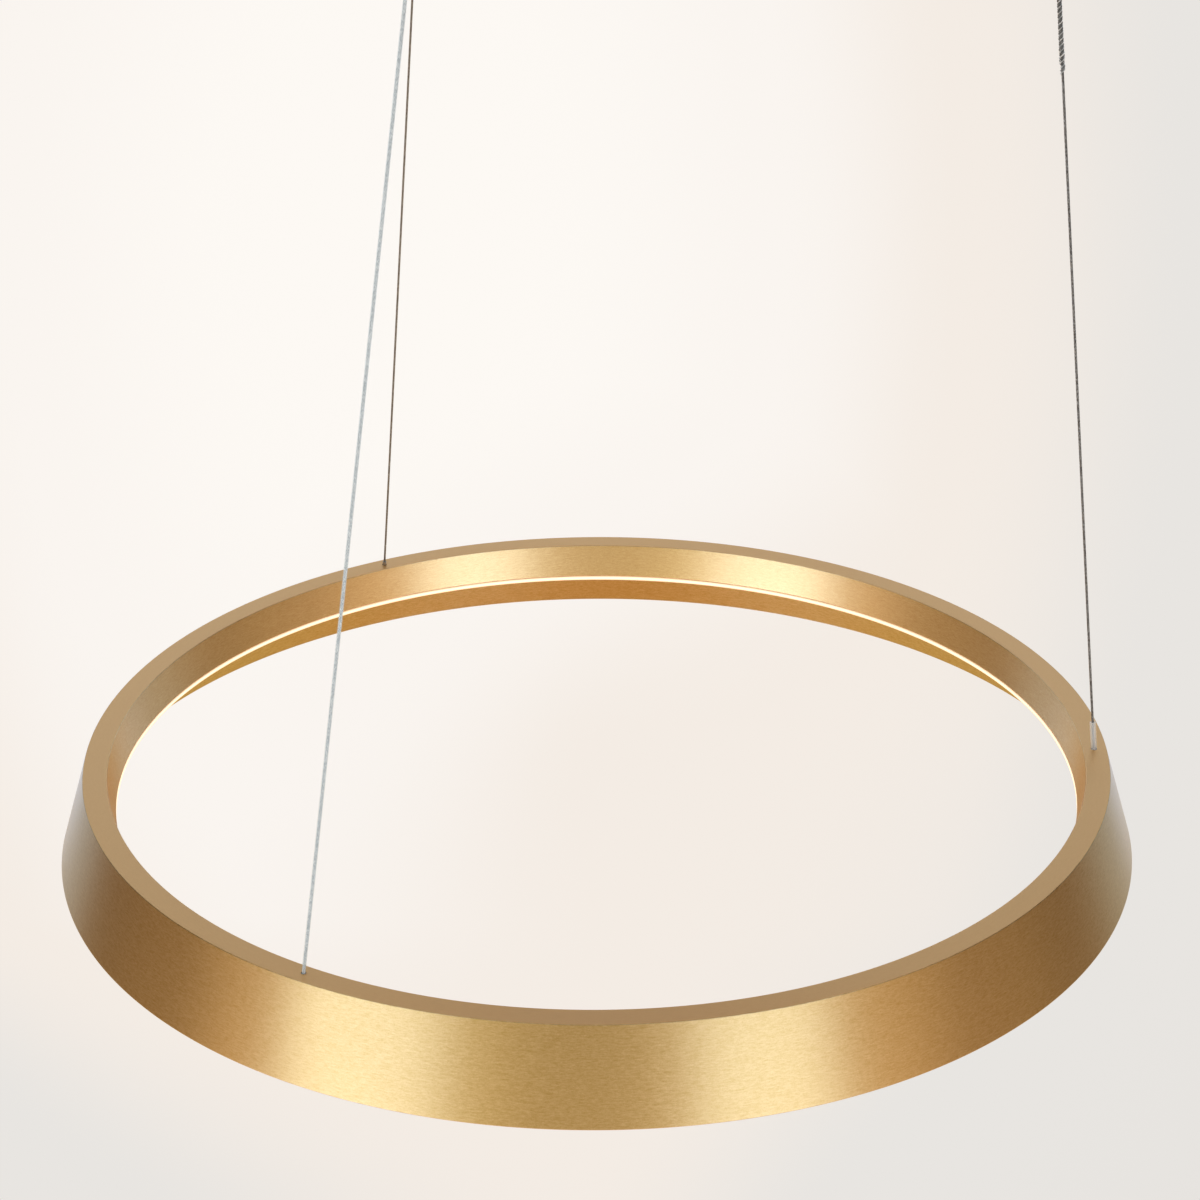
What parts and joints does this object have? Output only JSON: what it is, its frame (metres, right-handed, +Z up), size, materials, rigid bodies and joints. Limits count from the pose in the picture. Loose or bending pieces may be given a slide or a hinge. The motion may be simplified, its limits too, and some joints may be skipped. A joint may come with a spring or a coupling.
{
  "type": "led ring chandelier",
  "caption": "Flared metal light ring hung level on slim taut cables from a round canopy; it lights downwards and its height adjusts at the cable grippers.",
  "frame": {"origin": "centre of the ceiling plate's upper face, which lies against the ceiling", "axes": "+Z up, square to the ceiling and to the ring's flat top face; -Y towards the viewer of the picture, +X to the viewer's right"},
  "size_m": [0.6, 0.6, 0.6066],
  "materials": {
    "brushed_gold": "gold anodised aluminium, brushed along the ring",
    "opal_diffuser": "opal diffusing plastic, lit warm from inside",
    "white_circuit": "white solder mask on an aluminium core",
    "led_chip": "yellow phosphor chips",
    "solder": "tin solder",
    "steel_rope": "stranded steel wire rope",
    "coated_rope": "stranded tinned rope under a clear jacket",
    "clear_sleeve": "clear plastic tube",
    "swaged_steel": "swaged stainless steel",
    "black_nylon": "black moulded nylon",
    "white_nylon": "natural white nylon",
    "canopy_gold": "satin gold lacquer on spun steel",
    "zinc_steel": "bright zinc-plated steel",
    "gold_brass": "turned brass, satin gold",
    "bright_brass": "bright turned brass",
    "white_plastic": "white moulded plastic",
    "green_board": "green circuit board",
    "driver_part": "black moulded and sleeved components",
    "red_lead": "red lead insulation",
    "black_lead": "black lead insulation",
    "mains_lead": "brown lead insulation",
    "black_rubber": "black rubber"
  },
  "bodies": {
    "ceiling_plate": {"ceiling_plate": "zinc_steel", "entry_grommet": "black_rubber", "driver_case": "white_plastic", "driver_lid": "white_plastic", "driver_screws": "zinc_steel", "driver_board": "green_board", "driver_parts": "driver_part", "terminal_block": "white_plastic", "terminal_screws": "zinc_steel", "earth_screw": "bright_brass", "earth_nut": "bright_brass", "mains_leads": "mains_lead", "output_lead_front": "red_lead", "output_lead_right": "black_lead"},
    "canopy": {"canopy_shell": "canopy_gold", "gripper_barrel_right": "gold_brass", "gripper_stem_right": "bright_brass", "gripper_spring_right": "zinc_steel", "gripper_barrel_rear": "gold_brass", "gripper_stem_rear": "bright_brass", "gripper_spring_rear": "zinc_steel", "gripper_barrel_front": "gold_brass", "gripper_stem_front": "bright_brass", "gripper_spring_front": "zinc_steel", "gripper_balls": "zinc_steel", "gripper_locknuts": "zinc_steel", "gripper_shoulder_bushes": "white_nylon", "gripper_washers": "white_nylon", "gripper_eyelets": "solder", "cable_front": "coated_rope", "cable_rear": "steel_rope", "cable_right": "steel_rope", "wound_strand_right": "steel_rope"},
    "ring": {"ring_skirt": "brushed_gold", "ring_inner_wall": "brushed_gold", "ring_top_plate": "brushed_gold", "diffuser": "opal_diffuser", "led_strip_rear_right": "white_circuit", "led_strip_left": "white_circuit", "led_strip_front_right": "white_circuit", "led_chips_rear_right": "led_chip", "led_chips_left": "led_chip", "led_chips_front_right": "led_chip", "strip_solder_joints": "solder", "anchor_bush_right": "black_nylon", "anchor_bush_rear": "black_nylon", "anchor_bush_front": "black_nylon", "ball_end_right": "swaged_steel", "ball_end_rear": "swaged_steel", "ball_end_front": "swaged_steel", "cable_sleeve_right": "clear_sleeve", "feed_lead_front": "red_lead", "feed_lead_right": "black_lead"},
    "plunger_right": {"gripper_plunger_right": "gold_brass"},
    "plunger_rear": {"gripper_plunger_rear": "gold_brass"},
    "plunger_front": {"gripper_plunger_front": "gold_brass"},
    "side_screw_1": {"side_screw_1": "gold_brass"},
    "side_screw_2": {"side_screw_2": "gold_brass"},
    "side_screw_3": {"side_screw_3": "gold_brass"}
  },
  "joints": [
    {"name": "canopy_drop", "type": "slide", "parent": "ceiling_plate", "child": "canopy", "axis": [0, 0, -1], "range_m": [0, 0.06], "deforming": ["output_lead_front", "output_lead_right"]},
    {"name": "ring_height", "type": "slide", "parent": "canopy", "child": "ring", "axis": [0, 0, 1], "range_m": [-0.06, 0.12], "deforming": ["cable_right", "cable_rear", "cable_front", "wound_strand_right"]},
    {"name": "plunger_press_right", "type": "slide", "parent": "canopy", "child": "plunger_right", "axis": [0, 0, 1], "range_m": [0, 0.0015], "stiffness_N_per_m": 900, "springref_m": -0.0015},
    {"name": "plunger_press_rear", "type": "slide", "parent": "canopy", "child": "plunger_rear", "axis": [0, 0, 1], "range_m": [0, 0.0015], "stiffness_N_per_m": 900, "springref_m": -0.0015},
    {"name": "plunger_press_front", "type": "slide", "parent": "canopy", "child": "plunger_front", "axis": [0, 0, 1], "range_m": [0, 0.0015], "stiffness_N_per_m": 900, "springref_m": -0.0015},
    {"name": "side_screw_1_undo", "type": "slide", "parent": "ceiling_plate", "child": "side_screw_1", "axis": [0.4709, 0.8822, 0], "range_m": [0, 0.005]},
    {"name": "side_screw_2_undo", "type": "slide", "parent": "ceiling_plate", "child": "side_screw_2", "axis": [-0.9994, -0.0333, 0], "range_m": [0, 0.005]},
    {"name": "side_screw_3_undo", "type": "slide", "parent": "ceiling_plate", "child": "side_screw_3", "axis": [0.5286, -0.8489, 0], "range_m": [0, 0.005]}
  ]
}
